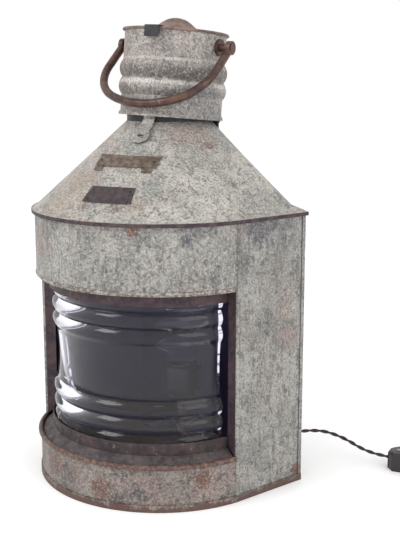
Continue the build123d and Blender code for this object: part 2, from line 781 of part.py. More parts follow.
nut_end = exit_at - exit_out * nut_depth
flex_tube("inner_flex", [
    tuple(nut_end),
    (88.0, 64.0, 20.0),
    (66.0, 48.0, 9.0),
    (42.0, 35.0, 7.0),
    (lamp_at[0] + 4.6, lamp_at[1] + 2.0, 14.0),
])
heading = Vector(cos(radians(switch_turn)), sin(radians(switch_turn)), 0)
sideways = Vector(-heading.Y, heading.X, 0)
relief_end = exit_at + exit_out * relief_len
switch_start = Vector(217.0, 117.8, switch_size[2] / 2)
switch_end = switch_start + heading * switch_size[0]
lengths = [flex_tube("flex_to_switch", [
    tuple(relief_end),
    (135.0, 109.0, 29.0),
    (162.0, 116.5, 23.0),
    (190.0, 114.4, 13.0),
    tuple(switch_start),
])]
coil_at = switch_end + heading * coil_touch + sideways * coil_r
coil_at = Vector(coil_at.X, coil_at.Y, 0)


def by_coil(along, across, z):
    """A point near the coil, along the switch's heading and across it."""
    p = coil_at + heading * along + sideways * across
    return (p.X, p.Y, z)


lengths.append(flex_tube("flex_to_coil", [tuple(switch_end), by_coil(-23.0, -coil_r, coil_h / 2)]))
lengths.append(flex_tube("flex_to_plug", [
    by_coil(29.0, 9.0, coil_h / 2),
    by_coil(33.0, 29.0, coil_h / 2),
    by_coil(24.0, 55.0, plug_size[2] / 2),
    by_coil(-2.0, 65.0, plug_size[2] / 2),
]))
with BuildPart() as flex_coil:
    with BuildSketch(Plane(origin=coil_at, x_dir=(1, 0, 0), z_dir=(0, -1, 0))):
        with Locations((coil_r, coil_h / 2)):
            RectangleRounded(coil_w, coil_h, 3.5)
    revolve(axis=Axis(origin=tuple(coil_at), direction=(0, 0, 1)))
save(flex_coil, "flex_coil")
wound = total_flex - sum(lengths) - switch_size[0] - coil_touch
print("coil turns", round(wound / (2 * pi * coil_r), 2))

switch_plane = Plane(origin=(switch_start + switch_end) * 0.5 - Vector(0, 0, switch_size[2] / 2),
                     x_dir=heading, z_dir=(0, 0, 1))
rocker_plane = Plane(origin=switch_plane.origin + Vector(0, 0, switch_size[2] - rocker_axis_depth),
                     x_dir=heading, z_dir=-sideways)
rocker_pin_half = rocker_w / 2 + 2.5
with BuildPart() as switch_body:
    with BuildSketch(switch_plane):
        SlotOverall(switch_size[0], switch_size[1])
        Rectangle(switch_size[0] - 12, switch_size[1])
        Rectangle(switch_size[0], 11)
    extrude(amount=switch_size[2])
    fillet(switch_body.edges().group_by(Axis.Z)[-1], radius=3.0)
    with BuildSketch(switch_plane.offset(switch_size[2] - pocket_depth)):
        Rectangle(rocker_len + 2 * rocker_gap, rocker_w + rocker_gap)
    extrude(amount=pocket_depth + 1.0, mode=Mode.SUBTRACT)
    with BuildSketch(rocker_plane):
        Circle(rocker_pin_r)
    extrude(amount=rocker_pin_half, both=True, mode=Mode.SUBTRACT)
save(switch_body, "switch_body")

with BuildPart() as rocker_pin:
    with BuildSketch(rocker_plane):
        Circle(rocker_pin_r)
    extrude(amount=rocker_pin_half, both=True)
save(rocker_pin, "rocker_pin")

with BuildPart() as switch_rocker:
    with BuildSketch(rocker_plane):
        with BuildLine():
            Polyline((-rocker_len / 2, -1.4), (0, -2.2), (rocker_len / 2, -1.4), (rocker_len / 2, 2.7),
                     (0, 1.6), (-rocker_len / 2, 3.9), close=True)
        make_face()
        Circle(rocker_pin_r + pin_clearance, mode=Mode.SUBTRACT)
    extrude(amount=rocker_w / 2, both=True)
save(switch_rocker, "switch_rocker")

with BuildPart() as switch_screws:
    with BuildSketch(switch_plane.offset(switch_size[2])):
        with Locations((-20, 0), (20, 0)):
            Circle(2.6)
    extrude(amount=0.6)
save(switch_screws, "switch_screws")

plug_from = Vector(*by_coil(-2.0, 65.0, 0.0))
plug_dir = (plug_from - Vector(*by_coil(24.0, 55.0, 0.0))).normalized()
plug_plane = Plane(origin=plug_from, x_dir=plug_dir, z_dir=(0, 0, 1))
with BuildPart() as plug_body:
    with BuildSketch(plug_plane):
        with BuildLine():
            Polyline((0, -5), (plug_neck, -plug_size[1] / 2), (plug_size[0], -plug_size[1] / 2),
                     (plug_size[0], plug_size[1] / 2), (plug_neck, plug_size[1] / 2), (0, 5), close=True)
        make_face()
    extrude(amount=plug_size[2])
    fillet(plug_body.edges().group_by(Axis.Z)[-1], radius=2.0)
save(plug_body, "plug_body")

with BuildPart() as plug_pins:
    for across in (-9.5, 9.5):
        centre = plug_from + plug_dir * plug_size[0] + Vector(-plug_dir.Y, plug_dir.X) * across
        with BuildSketch(Plane(origin=centre + Vector(0, 0, plug_size[2] / 2), z_dir=plug_dir)):
            Circle(2.0)
        extrude(amount=plug_pin_len)
save(plug_pins, "plug_pins")

print("nodes", len(saved))
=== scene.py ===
import bmesh
import bpy
import json
import math
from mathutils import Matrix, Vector


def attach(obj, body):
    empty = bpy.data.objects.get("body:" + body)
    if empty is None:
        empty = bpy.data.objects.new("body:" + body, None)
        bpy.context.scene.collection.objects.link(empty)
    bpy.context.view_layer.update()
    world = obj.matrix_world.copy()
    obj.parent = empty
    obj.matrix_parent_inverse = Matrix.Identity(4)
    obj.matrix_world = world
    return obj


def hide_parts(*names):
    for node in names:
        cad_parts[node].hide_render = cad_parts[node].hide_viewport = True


# Ship lantern: galvanised case, ribbed bow lens, hinged hood with a bail, and a twisted flex.
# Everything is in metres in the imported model's frame: +Z up, window towards -Y.

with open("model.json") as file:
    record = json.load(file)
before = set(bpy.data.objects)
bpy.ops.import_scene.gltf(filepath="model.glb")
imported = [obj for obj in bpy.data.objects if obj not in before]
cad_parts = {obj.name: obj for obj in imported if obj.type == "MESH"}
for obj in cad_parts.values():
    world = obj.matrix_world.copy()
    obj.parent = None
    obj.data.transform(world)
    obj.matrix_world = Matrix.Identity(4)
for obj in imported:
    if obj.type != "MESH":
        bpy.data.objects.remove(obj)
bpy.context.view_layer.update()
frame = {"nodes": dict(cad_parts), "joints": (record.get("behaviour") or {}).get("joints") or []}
nodes = frame["nodes"]

# ---- driving sizes: lengths in metres, turns in radians ----
BOW_R = 0.132
EAVES_Z = 2.15 * BOW_R
NECK_Z = 2.826 * BOW_R
NECK_R = 0.332 * BOW_R
NECK_Y = 0.114 * BOW_R
HOOD_R = 0.4 * BOW_R
HOOD_TILT = math.radians(4.5)
HOOD_LEAN = math.radians(2.0)
HINGE_OUT = 0.0585          # from the hood's own axis back to its hinge
WINDOW_HALF = math.radians(67.0)
LENS_R = 0.885 * BOW_R
LENS_LOW = 0.42 * BOW_R
LENS_HIGH = 1.60 * BOW_R
LENS_HALF = math.radians(64.5)
LENS_WALL = 0.007
RIB_PITCH = 0.124 * BOW_R
RIB_PROUD = 0.004
RIB_COUNT = 3               # above the plain belt, and as many below
RIB_STEPS = 10
BELT_DIP = 0.002
BELT_STEPS = 12
WALL_STEPS = 12
LENS_STEPS = 160
LENS_CREASE = math.radians(50)
FLEX_D = 0.004
TWIST_PITCH = 0.0223
COIL_R = 0.024
SWITCH_TURN = math.radians(8.0)
SWITCH_LONG = 0.062
SWITCH_TO_COIL = 0.045
PLUG_H = 0.014
EXIT_SHARE = 0.74           # where the flex leaves the right rear panel, along it and up it
EXIT_Z = 0.029
RELIEF_LONG = 0.020
STRAND_STEP = 0.0014
STRAND_R = FLEX_D * 0.255
STRAND_OFFSET = FLEX_D * 0.245
STRAND_SIDES = 8
CAMERA_AT = (0.5857, -0.8610, 0.4253)
CAMERA_LOOKS = Vector((-0.5197, 0.8317, -0.1954))
FOCAL_MM = 67.06
SENSOR_MM = 36.0


# ---- camera ----
def make_camera():
    data = bpy.data.cameras.new("camera")
    data.lens = FOCAL_MM
    data.sensor_width = SENSOR_MM
    camera = bpy.data.objects.new("camera", data)
    bpy.context.scene.collection.objects.link(camera)
    camera.location = CAMERA_AT
    camera.rotation_mode = "QUATERNION"
    camera.rotation_quaternion = CAMERA_LOOKS.to_track_quat("-Z", "Y")
    bpy.context.scene.camera = camera


make_camera()

# ---- the flex: one cord from the strain relief, through the switch, into its coil and out to the plug ----
heading = Vector((math.cos(SWITCH_TURN), math.sin(SWITCH_TURN), 0.0))
sideways = Vector((-heading.y, heading.x, 0.0))
switch_start = Vector((0.217, 0.1178, 0.010))
switch_end = switch_start + heading * SWITCH_LONG
coil_at = switch_end + heading * SWITCH_TO_COIL + sideways * COIL_R
coil_at.z = 0.0
relief_out = Vector((1.0, 1.0, 0.0)).normalized()
rear_corner = Vector((1.14 * BOW_R, 0.26 * BOW_R))
back_corner = Vector((0.70 * BOW_R, 0.70 * BOW_R))
exit_xy = rear_corner.lerp(back_corner, EXIT_SHARE)
exit_at = Vector((exit_xy.x, exit_xy.y, EXIT_Z))
relief_end = exit_at + relief_out * RELIEF_LONG


def by_coil(along, across, z):
    """A point at a height, placed from the coil's middle along and across the switch's heading."""
    p = coil_at + heading * along + sideways * across
    return Vector((p.x, p.y, z))


# Each turn's (layer, column) in the coil: four columns wide, three layers deep, ending on the outside.
COIL_SLOTS = [(0, 3), (0, 2), (0, 1), (0, 0), (1, 0), (1, 1), (1, 2), (1, 3), (2, 1), (2, 2), (2, 3)]
COIL_STEPS = 16


def coil_slot(turn):
    layer, column = COIL_SLOTS[turn]
    return COIL_R + FLEX_D * (column - 1.5), FLEX_D * (layer + 0.5)


def coil_turns():
    """Ten and a quarter turns, each moving over to the next one's place in its last quarter."""
    points = []
    last = len(COIL_SLOTS) - 1
    for step in range(last * COIL_STEPS + COIL_STEPS // 4 + 1):
        turn, part = divmod(step, COIL_STEPS)
        radius, height = coil_slot(turn)
        if turn < last:
            next_radius, next_height = coil_slot(turn + 1)
            move = max(0.0, 4.0 * part / COIL_STEPS - 3.0)
            radius += (next_radius - radius) * move
            height += (next_height - height) * move
        angle = 2 * math.pi * part / COIL_STEPS - math.pi / 2
        points.append(by_coil(radius * math.cos(angle), radius * math.sin(angle), height))
    return points


route = [
    relief_end,
    Vector((0.135, 0.109, 0.029)),
    Vector((0.162, 0.1165, 0.023)),
    Vector((0.190, 0.1144, 0.013)),
    switch_start,
    switch_end,
    by_coil(-0.023, -0.025, 0.007),
    *coil_turns(),
    by_coil(0.033, 0.029, 0.008),
    by_coil(0.024, 0.055, PLUG_H / 2),
    by_coil(-0.002, 0.065, PLUG_H / 2),
]


def spline_line(points):
    """Points along the NURBS spline that has these control points."""
    data = bpy.data.curves.new("flex_line", "CURVE")
    data.dimensions = "3D"
    data.resolution_u = 10
    spline = data.splines.new("NURBS")
    spline.points.add(len(points) - 1)
    for target, point in zip(spline.points, points):
        target.co = (*point, 1.0)
    spline.order_u = 3
    spline.use_endpoint_u = True
    holder = bpy.data.objects.new("flex_line", data)
    bpy.context.scene.collection.objects.link(holder)
    mesh = bpy.data.meshes.new_from_object(holder)
    line = [v.co.copy() for v in mesh.vertices]
    bpy.data.objects.remove(holder)
    return line


def even_points(line, spacing):
    """The same line with points at an even spacing."""
    kept = [line[0]]
    carried = 0.0
    for a, b in zip(line, line[1:]):
        run = (b - a).length
        while run > 0 and carried + run >= spacing:
            a = a.lerp(b, (spacing - carried) / run)
            kept.append(a.copy())
            run = (b - a).length
            carried = 0.0
        carried += run
    return kept


def carried_frames(centres):
    """Each centre with two directions square to the line, carried along it without twisting."""
    normal = None
    for i, centre in enumerate(centres):
        ahead = (centres[min(i + 1, len(centres) - 1)] - centres[max(i - 1, 0)]).normalized()
        if normal is None:
            normal = ahead.orthogonal().normalized()
        normal = (normal - ahead * normal.dot(ahead)).normalized()
        yield centre, normal, ahead.cross(normal)


def ring_tube(verts, faces, uvs, centres, radius, sides):
    """Adds a closed tube round a line of centres, with u round it and v along it in metres."""
    first = len(verts)
    along = 0.0
    for i, (centre, normal, across) in enumerate(carried_frames(centres)):
        if i:
            along += (centre - centres[i - 1]).length
        for k in range(sides):
            turn = 2 * math.pi * k / sides
            verts.append(centre + (normal * math.cos(turn) + across * math.sin(turn)) * radius)
        if i:
            for k in range(sides):
                low = first + (i - 1) * sides
                high = first + i * sides
                near, far = k / sides, (k + 1) / sides
                faces.append((low + k, low + (k + 1) % sides, high + (k + 1) % sides, high + k))
                uvs.append([(near, along), (far, along), (far, along), (near, along)])
    faces.append(tuple(first + k for k in reversed(range(sides))))
    uvs.append([(0.0, 0.0)] * sides)
    faces.append(tuple(len(verts) - sides + k for k in range(sides)))
    uvs.append([(0.0, along)] * sides)


def new_piece(name, verts, faces, uvs=None, smooth=True):
    """A mesh object with its normals facing outwards."""
    mesh = bpy.data.meshes.new(name)
    mesh.from_pydata([tuple(v) for v in verts], [], faces)
    if uvs:
        layer = mesh.uv_layers.new(name="UVMap")
        flat = [c for face in uvs for c in face]
        for loop, c in zip(layer.data, flat):
            loop.uv = c
    mesh.validate()
    work = bmesh.new()
    work.from_mesh(mesh)
    bmesh.ops.recalc_face_normals(work, faces=work.faces)
    work.to_mesh(mesh)
    work.free()
    for polygon in mesh.polygons:
        polygon.use_smooth = smooth
    piece = bpy.data.objects.new(name, mesh)
    bpy.context.scene.collection.objects.link(piece)
    return piece


def twisted_flex(line):
    """Two strands wound round the line, and the points of the line itself."""
    centres = even_points(line, STRAND_STEP)
    verts, faces, uvs = [], [], []
    strands = [[], []]
    for i, (centre, normal, across) in enumerate(carried_frames(centres)):
        turn = 2 * math.pi * i * STRAND_STEP / TWIST_PITCH
        offset = (normal * math.cos(turn) + across * math.sin(turn)) * STRAND_OFFSET
        strands[0].append(centre + offset)
        strands[1].append(centre - offset)
    for strand in strands:
        ring_tube(verts, faces, uvs, strand, STRAND_R, STRAND_SIDES)
    return new_piece("twisted_flex", verts, faces, uvs), centres


flex_line = spline_line(route)
twisted, flex_path = twisted_flex(flex_line)
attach(twisted, "case")
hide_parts("flex_to_switch", "flex_to_coil", "flex_to_plug", "flex_coil")
[tuple(p) for p in flex_path]


# ---- materials ----
class Nodes:
    """A short way to write a material's node tree."""

    def __init__(self, name):
        self.material = bpy.data.materials.new(name)
        self.material.use_nodes = True
        self.tree = self.material.node_tree
        self.shader = self.tree.nodes["Principled BSDF"]
        self.place = self.tree.nodes.new("ShaderNodeTexCoord").outputs["Object"]

    def link(self, source, target):
        self.tree.links.new(source, target)

    def stretched(self, scale, shift=(0.0, 0.0, 0.0)):
        node = self.tree.nodes.new("ShaderNodeMapping")
        node.inputs["Scale"].default_value = scale
        node.inputs["Location"].default_value = shift
        self.link(self.place, node.inputs["Vector"])
        return node.outputs["Vector"]

    def noise(self, scale, detail=4.0, rough=0.6, vector=None, distortion=0.0):
        node = self.tree.nodes.new("ShaderNodeTexNoise")
        node.inputs["Scale"].default_value = scale
        node.inputs["Detail"].default_value = detail
        node.inputs["Roughness"].default_value = rough
        node.inputs["Distortion"].default_value = distortion
        self.link(vector or self.place, node.inputs["Vector"])
        return node.outputs["Fac"]

    def between(self, value, low, high, to_low=0.0, to_high=1.0):
        node = self.tree.nodes.new("ShaderNodeMapRange")
        node.interpolation_type = "SMOOTHSTEP"
        for socket, number in zip(("From Min", "From Max", "To Min", "To Max"), (low, high, to_low, to_high)):
            node.inputs[socket].default_value = number
        self.link(value, node.inputs["Value"])
        return node.outputs["Result"]

    def math(self, operation, a, b):
        node = self.tree.nodes.new("ShaderNodeMath")
        node.operation = operation
        node.use_clamp = True
        for socket, value in zip(node.inputs, (a, b)):
            if isinstance(value, float):
                socket.default_value = value
            else:
                self.link(value, socket)
        return node.outputs[0]

    def mix(self, factor, a, b):
        node = self.tree.nodes.new("ShaderNodeMix")
        node.data_type = "RGBA"
        for socket, value in ((node.inputs[0], factor), (node.inputs[6], a), (node.inputs[7], b)):
            if isinstance(value, tuple):
                socket.default_value = (*value, 1.0)
            else:
                self.link(value, socket)
        return node.outputs[2]

    def wobble(self, value, scale, amount):
        """The value moved up and down by a noise."""
        node = self.tree.nodes.new("ShaderNodeMath")
        node.operation = "MULTIPLY_ADD"
        self.link(self.noise(scale, 5.0, 0.75), node.inputs[0])
        node.inputs[1].default_value = 2 * amount
        self.link(value, node.inputs[2])
        shifted = self.tree.nodes.new("ShaderNodeMath")
        shifted.operation = "SUBTRACT"
        self.link(node.outputs[0], shifted.inputs[0])
        shifted.inputs[1].default_value = amount
        return shifted.outputs[0]

    def spot(self, centre, radius):
        """A ragged blot round a point of the object: 1 inside, fading to 0 outside."""
        away = self.vector("DISTANCE", self.place, centre, "Value")
        ragged = self.wobble(away, 1.3 / radius, 2.0 * radius)
        return self.between(ragged, radius * 0.45, radius * 1.2, 1.0, 0.0)

    def vector(self, operation, a, b=None, output="Vector"):
        node = self.tree.nodes.new("ShaderNodeVectorMath")
        node.operation = operation
        for socket, value in zip(node.inputs, (a, b)):
            if isinstance(value, (tuple, Vector)):
                socket.default_value = value
            elif value is not None:
                self.link(value, socket)
        return node.outputs[output]

    def from_axis(self):
        """Distance from the case's upright axis."""
        return self.vector("LENGTH", self.vector("MULTIPLY", self.place, LEVEL), None, "Value")

    def inner_side(self):
        """1 where the surface faces the upright axis, as the inside of every wall does."""
        normal = self.tree.nodes.new("ShaderNodeTexCoord").outputs["Normal"]
        facing = self.vector("DOT_PRODUCT", self.vector("MULTIPLY", self.place, LEVEL), normal, "Value")
        return self.between(facing, -0.004, 0.0, 1.0, 0.0)

    def band(self, level, middle, half):
        """1 within half of the middle height, with a ragged edge."""
        away = self.tree.nodes.new("ShaderNodeMath")
        away.operation = "SUBTRACT"
        self.link(self.wobble(level, 90.0, half), away.inputs[0])
        away.inputs[1].default_value = middle
        size = self.tree.nodes.new("ShaderNodeMath")
        size.operation = "ABSOLUTE"
        self.link(away.outputs[0], size.inputs[0])
        return self.between(size.outputs[0], half * 0.5, half * 1.4, 1.0, 0.0)

    def along(self, origin, direction):
        """How far a point lies from the origin along a direction."""
        return self.vector("DOT_PRODUCT", self.vector("SUBTRACT", self.place, origin), direction, "Value")

    def height(self):
        node = self.tree.nodes.new("ShaderNodeSeparateXYZ")
        self.link(self.place, node.inputs[0])
        return node.outputs["Z"]

    def finish(self, colour, metallic, roughness, bump, bump_size, strength):
        self.link(colour, self.shader.inputs["Base Color"])
        self.shader.inputs["Metallic"].default_value = metallic
        if isinstance(roughness, float):
            self.shader.inputs["Roughness"].default_value = roughness
        else:
            self.link(roughness, self.shader.inputs["Roughness"])
        node = self.tree.nodes.new("ShaderNodeBump")
        node.inputs["Strength"].default_value = strength
        node.inputs["Distance"].default_value = bump_size
        self.link(bump, node.inputs["Height"])
        self.link(node.outputs["Normal"], self.shader.inputs["Normal"])
        return self.material


LEVEL = (1.0, 1.0, 0.0)
RUST = (0.150, 0.068, 0.045)
RUST_DARK = (0.050, 0.030, 0.030)
VERDIGRIS = (0.19, 0.225, 0.215)
PALE = (0.72, 0.69, 0.63)
TAN = (0.34, 0.27, 0.21)
PINK = (0.33, 0.235, 0.21)
SOOT = (0.07, 0.07, 0.085)
NAVY = (0.045, 0.036, 0.10)


def galvanised(name, light, mid, dark, shade, flake, smudge, warm, pit=0.7, streak=0.0, spots=(), bands=(),
               rust_below=None, rust_above=None):
    """Weathered zinc: mottled greys, pale flakes, dark pits and smudges, and rust at edges and spots.
    A spot is (centre, radius, tint, amount), a band (origin, direction, middle, half width, tint, amount)."""
    n = Nodes(name)
    light, mid, dark, pale = [tuple(shade * c for c in tint) for tint in (light, mid, dark, PALE)]
    colour = n.mix(n.between(n.noise(26.0, 5.0, 0.62), 0.38, 0.62), mid, light)
    tone = n.between(n.noise(16.0, 4.0, 0.6, n.stretched((1.0, 1.0, 1.0), (0.3, 0.1, 0.2))), 0.48, 0.66)
    colour = n.mix(n.math("MULTIPLY", tone, warm), colour, PINK)
    grain = n.between(n.noise(115.0, 6.0, 0.75, distortion=0.5), 0.50, 0.62)
    colour = n.mix(n.math("MULTIPLY", grain, 0.65), colour, dark)
    patches = n.between(n.noise(44.0, 6.0, 0.70, distortion=0.6), 0.56, 0.68)
    colour = n.mix(n.math("MULTIPLY", patches, smudge), colour, dark)
    if streak:
        runs = n.between(n.noise(210.0, 4.0, 0.65, n.stretched((1.0, 1.0, 0.16))), 0.50, 0.66)
        colour = n.mix(n.math("MULTIPLY", runs, streak), colour, dark)
    for origin, direction, middle, half, tint, amount in bands:
        stripe = n.band(n.along(origin, direction), middle, half)
        colour = n.mix(n.math("MULTIPLY", stripe, amount), colour, tint)
    for centre, radius, tint, amount in spots:
        colour = n.mix(n.math("MULTIPLY", n.spot(centre, radius), amount), colour, tint)
    fine = n.noise(420.0, 4.0, 0.8)
    flakes = n.between(fine, 0.50, 0.66)
    pits = n.between(fine, 0.38, 0.47, 1.0, 0.0)
    colour = n.mix(n.math("MULTIPLY", flakes, flake), colour, pale)
    colour = n.mix(n.math("MULTIPLY", pits, pit), colour, dark)
    specks = n.between(n.noise(640.0, 3.0, 0.8), 0.53, 0.64)
    colour = n.mix(n.math("MULTIPLY", specks, 0.60), colour, dark)
    rust = n.between(n.noise(62.0, 6.0, 0.74), 0.66, 0.74)
    if rust_below is not None:
        creep = n.wobble(n.height(), 70.0, 0.014)
        foot = n.between(creep, rust_below - 0.001, rust_below + 0.003, 1.0, 0.0)
        rust = n.math("MAXIMUM", rust, foot)
    if rust_above is not None:
        creep = n.wobble(n.height(), 70.0, 0.014)
        top = n.between(creep, rust_above, rust_above + 0.004)
        rust = n.math("MAXIMUM", rust, top)
    rust_tint = n.mix(n.noise(300.0, 4.0, 0.7), RUST_DARK, RUST)
    colour = n.mix(n.math("MULTIPLY", rust, 0.85), colour, rust_tint)
    colour = n.mix(n.inner_side(), colour, NAVY)
    rough = n.between(fine, 0.3, 0.7, 0.50, 0.74)
    return n.finish(colour, 0.25, rough, n.noise(260.0, 6.0, 0.75), 0.0006, 0.65)


def rusty(name, light, dark, metallic=0.2, bump=0.0005, worn=0.5, rim=None, rough=(0.45, 0.75)):
    """Bare iron edge: brown and purple rust with worn pale specks. rim is (distance, light, dark) past which
    the outer edge has tints of its own."""
    n = Nodes(name)
    blend = n.between(n.noise(70.0, 6.0, 0.7), 0.35, 0.65)
    colour = n.mix(blend, dark, light)
    if rim:
        limit, rim_light, rim_dark = rim
        past = n.between(n.from_axis(), limit - 0.0002, limit + 0.0002)
        fleck = n.between(n.noise(240.0, 5.0, 0.8), 0.42, 0.60)
        colour = n.mix(past, colour, n.mix(fleck, rim_dark, rim_light))
    specks = n.between(n.noise(210.0, 5.0, 0.7), 0.58, 0.70)
    colour = n.mix(n.math("MULTIPLY", specks, worn), colour, (0.33, 0.29, 0.26))
    return n.finish(colour, metallic, n.between(n.noise(180.0), 0.3, 0.7, *rough), n.noise(320.0, 6.0, 0.75),
                    bump, 0.6)


def hemmed_with_painted_shade(name, top_light, top_dark, shaded_hem_light, shaded_hem_dark):
    """Roof flange: zinc on its upward faces. Every other face, the rolled hem round its edge and the
    underside, takes a dark brown that is partly rust and partly painted shade under the flange.
    """
    n = Nodes(name)
    normal = n.tree.nodes.new("ShaderNodeTexCoord").outputs["Normal"]
    # Upward faces take the zinc; all the others take the hem tints, whose darkness is painted shade under the
    # flange as well as rust.
    up = n.between(n.vector("DOT_PRODUCT", normal, (0.0, 0.0, 1.0), "Value"), 0.6, 0.8)
    hem = n.mix(n.between(n.noise(110.0, 6.0, 0.75), 0.40, 0.62), shaded_hem_dark, shaded_hem_light)
    top = n.mix(n.between(n.noise(300.0, 5.0, 0.8), 0.42, 0.58), top_dark, top_light)
    return n.finish(n.mix(up, hem, top), 0.25, 0.62, n.noise(260.0, 6.0, 0.75), 0.0005, 0.6)


def plain_metal(name, light, dark, metallic, low_rough, high_rough, scale=140.0):
    """Dull metal in two mottled tints."""
    n = Nodes(name)
    colour = n.mix(n.between(n.noise(scale, 5.0, 0.65), 0.35, 0.68), dark, light)
    return n.finish(colour, metallic, n.between(n.noise(scale * 2), 0.3, 0.7, low_rough, high_rough),
                    n.noise(scale * 3, 4.0, 0.7), 0.0002, 0.4)


def moulded(name, tint, dusty):
    """Dark moulded plastic with dust and fine scuffs."""
    n = Nodes(name)
    dust = n.between(n.noise(300.0, 4.0, 0.7), 0.55, 0.75)
    colour = n.mix(n.math("MULTIPLY", dust, 0.5), tint, dusty)
    rough = n.between(n.noise(220.0), 0.3, 0.7, 0.28, 0.5)
    return n.finish(colour, 0.0, rough, n.noise(900.0, 3.0), 0.00006, 0.4)


def braid():
    """Braided cover: crossing threads from the strand's own u and v."""
    n = Nodes("flex_braid")
    uv = n.tree.nodes.new("ShaderNodeTexCoord").outputs["UV"]
    waves = []
    for lean in (1.0, -1.0):
        slanted = n.tree.nodes.new("ShaderNodeMapping")
        slanted.inputs["Scale"].default_value = (6.0, 900.0 * lean, 1.0)
        n.link(uv, slanted.inputs["Vector"])
        wave = n.tree.nodes.new("ShaderNodeTexWave")
        wave.bands_direction = "DIAGONAL"
        wave.inputs["Scale"].default_value = 0.5
        n.link(slanted.outputs["Vector"], wave.inputs["Vector"])
        waves.append(wave.outputs["Fac"])
    threads = n.math("MAXIMUM", *waves)
    colour = n.mix(threads, (0.012, 0.008, 0.010), (0.060, 0.040, 0.044))
    return n.finish(colour, 0.0, 0.8, threads, 0.00015, 0.7)


def glass(name, tint, rough):
    """Old pressed glass: faint tint, soft waves and a little grime."""
    n = Nodes(name)
    grime = n.between(n.noise(50.0, 6.0, 0.7), 0.55, 0.80)
    colour = n.mix(n.math("MULTIPLY", grime, 0.30), tint, (0.55, 0.52, 0.45))
    n.shader.inputs["Transmission Weight"].default_value = 1.0
    n.shader.inputs["IOR"].default_value = 1.35
    n.shader.inputs["Specular IOR Level"].default_value = 0.3
    return n.finish(colour, 0.0, n.between(n.noise(70.0, 5.0), 0.4, 0.8, rough, rough + 0.10),
                    n.noise(38.0, 2.0, 0.4), 0.0004, 0.25)


def on_bow(angle, z):
    """A point on the bow, at an angle in degrees from the front."""
    turn = math.radians(angle)
    return (BOW_R * math.sin(turn), -BOW_R * math.cos(turn), z)


def on_side(share, z):
    """A point on the right side wall, from its front seam to its rear corner."""
    seam = Vector(on_bow(math.degrees(WINDOW_HALF), z))
    return tuple(seam.lerp(Vector((rear_corner.x, rear_corner.y, z)), share))


def on_roof(angle, share):
    """A point on the roof's round slope, from its foot to the neck."""
    turn = math.radians(angle)
    radius = BOW_R + share * (NECK_R - BOW_R)
    height = EAVES_Z + share * (NECK_Z - EAVES_Z)
    return (radius * math.sin(turn), share * NECK_Y - radius * math.cos(turn), height)


def hood_axis():
    """The hood's foot, its axis and its right-hand side, tilted back and leaning right on its hinge."""
    up = Vector((math.sin(HOOD_LEAN) * math.cos(HOOD_TILT), math.sin(HOOD_TILT),
                 math.cos(HOOD_LEAN) * math.cos(HOOD_TILT)))
    right = Vector((math.cos(HOOD_LEAN), 0.0, -math.sin(HOOD_LEAN)))
    hinge = next(joint["pos_m"] for joint in frame["joints"] if joint["name"] == "hood_hinge")
    return Vector(hinge) - up.cross(right) * HINGE_OUT, up, right


hood_foot, hood_up, hood_right = hood_axis()


def on_hood(angle, height):
    """A point on the hood's wall, at an angle in degrees from its front and a height up its axis."""
    turn = math.radians(angle)
    sidewards = hood_right * (HOOD_R * math.sin(turn))
    backwards = hood_up.cross(hood_right) * (HOOD_R * math.cos(turn))
    return tuple(hood_foot + sidewards - backwards + hood_up * height)


GREYS = {"light": (0.44, 0.425, 0.39), "mid": (0.29, 0.282, 0.262), "dark": (0.082, 0.080, 0.084)}
side_zinc = galvanised("side_zinc", **GREYS, shade=0.82, flake=0.50, smudge=0.35, streak=0.50, warm=0.2,
                       rust_below=0.004, spots=(
    (on_side(0.93, 0.013), 0.009, RUST, 0.95),
    (on_side(0.35, 0.280), 0.022, SOOT, 0.75),
    (on_side(0.70, 0.275), 0.016, SOOT, 0.55),
    (on_side(0.10, 0.240), 0.012, SOOT, 0.5),
    (on_side(0.72, 0.190), 0.016, PINK, 0.6),
    (on_side(0.78, 0.160), 0.016, PINK, 0.6)))
upper_zinc = galvanised("upper_zinc", **GREYS, shade=0.835, flake=0.60, smudge=0.45, streak=0.45, warm=0.45,
                        rust_above=0.284, spots=(
    (on_bow(22.0, 0.281), 0.009, RUST, 0.9),
    (on_bow(44.0, 0.268), 0.005, SOOT, 0.85),
    (on_bow(-52.0, 0.250), 0.030, PINK, 0.55),
    (on_bow(47.0, 0.278), 0.016, SOOT, 0.5)))
lower_zinc = galvanised("lower_zinc", (0.33, 0.29, 0.26), (0.20, 0.170, 0.155), (0.062, 0.052, 0.052),
                        shade=0.74, flake=0.50, smudge=0.65, streak=0.3, warm=0.5, rust_below=0.005, spots=(
    (on_bow(51.0, 0.030), 0.010, RUST, 0.95),
    (on_bow(-22.0, 0.030), 0.011, RUST, 0.7),
    (on_bow(6.0, 0.017), 0.013, RUST, 0.75),
    (on_bow(23.0, 0.019), 0.009, SOOT, 0.9)))
roof_zinc = galvanised("roof_zinc", (0.56, 0.53, 0.48), (0.37, 0.355, 0.325), (0.115, 0.112, 0.112),
                       shade=0.875, flake=0.80, pit=0.80, smudge=0.45, warm=0.15, spots=(
    (on_roof(73.0, 0.74), 0.007, RUST, 0.95),
    (on_roof(60.0, 0.86), 0.024, PINK, 0.6),
    (on_roof(9.0, 0.70), 0.014, VERDIGRIS, 0.5),
    (on_roof(29.0, 0.35), 0.010, VERDIGRIS, 0.5),
    (on_roof(22.0, 0.15), 0.008, TAN, 0.8),
    (on_roof(12.0, 0.14), 0.008, RUST, 0.6),
    (on_roof(-5.0, 0.12), 0.006, RUST, 0.6),
    (on_roof(-24.0, 0.22), 0.040, TAN, 0.65),
    (on_roof(-24.0, 0.65), 0.030, PINK, 0.35)))
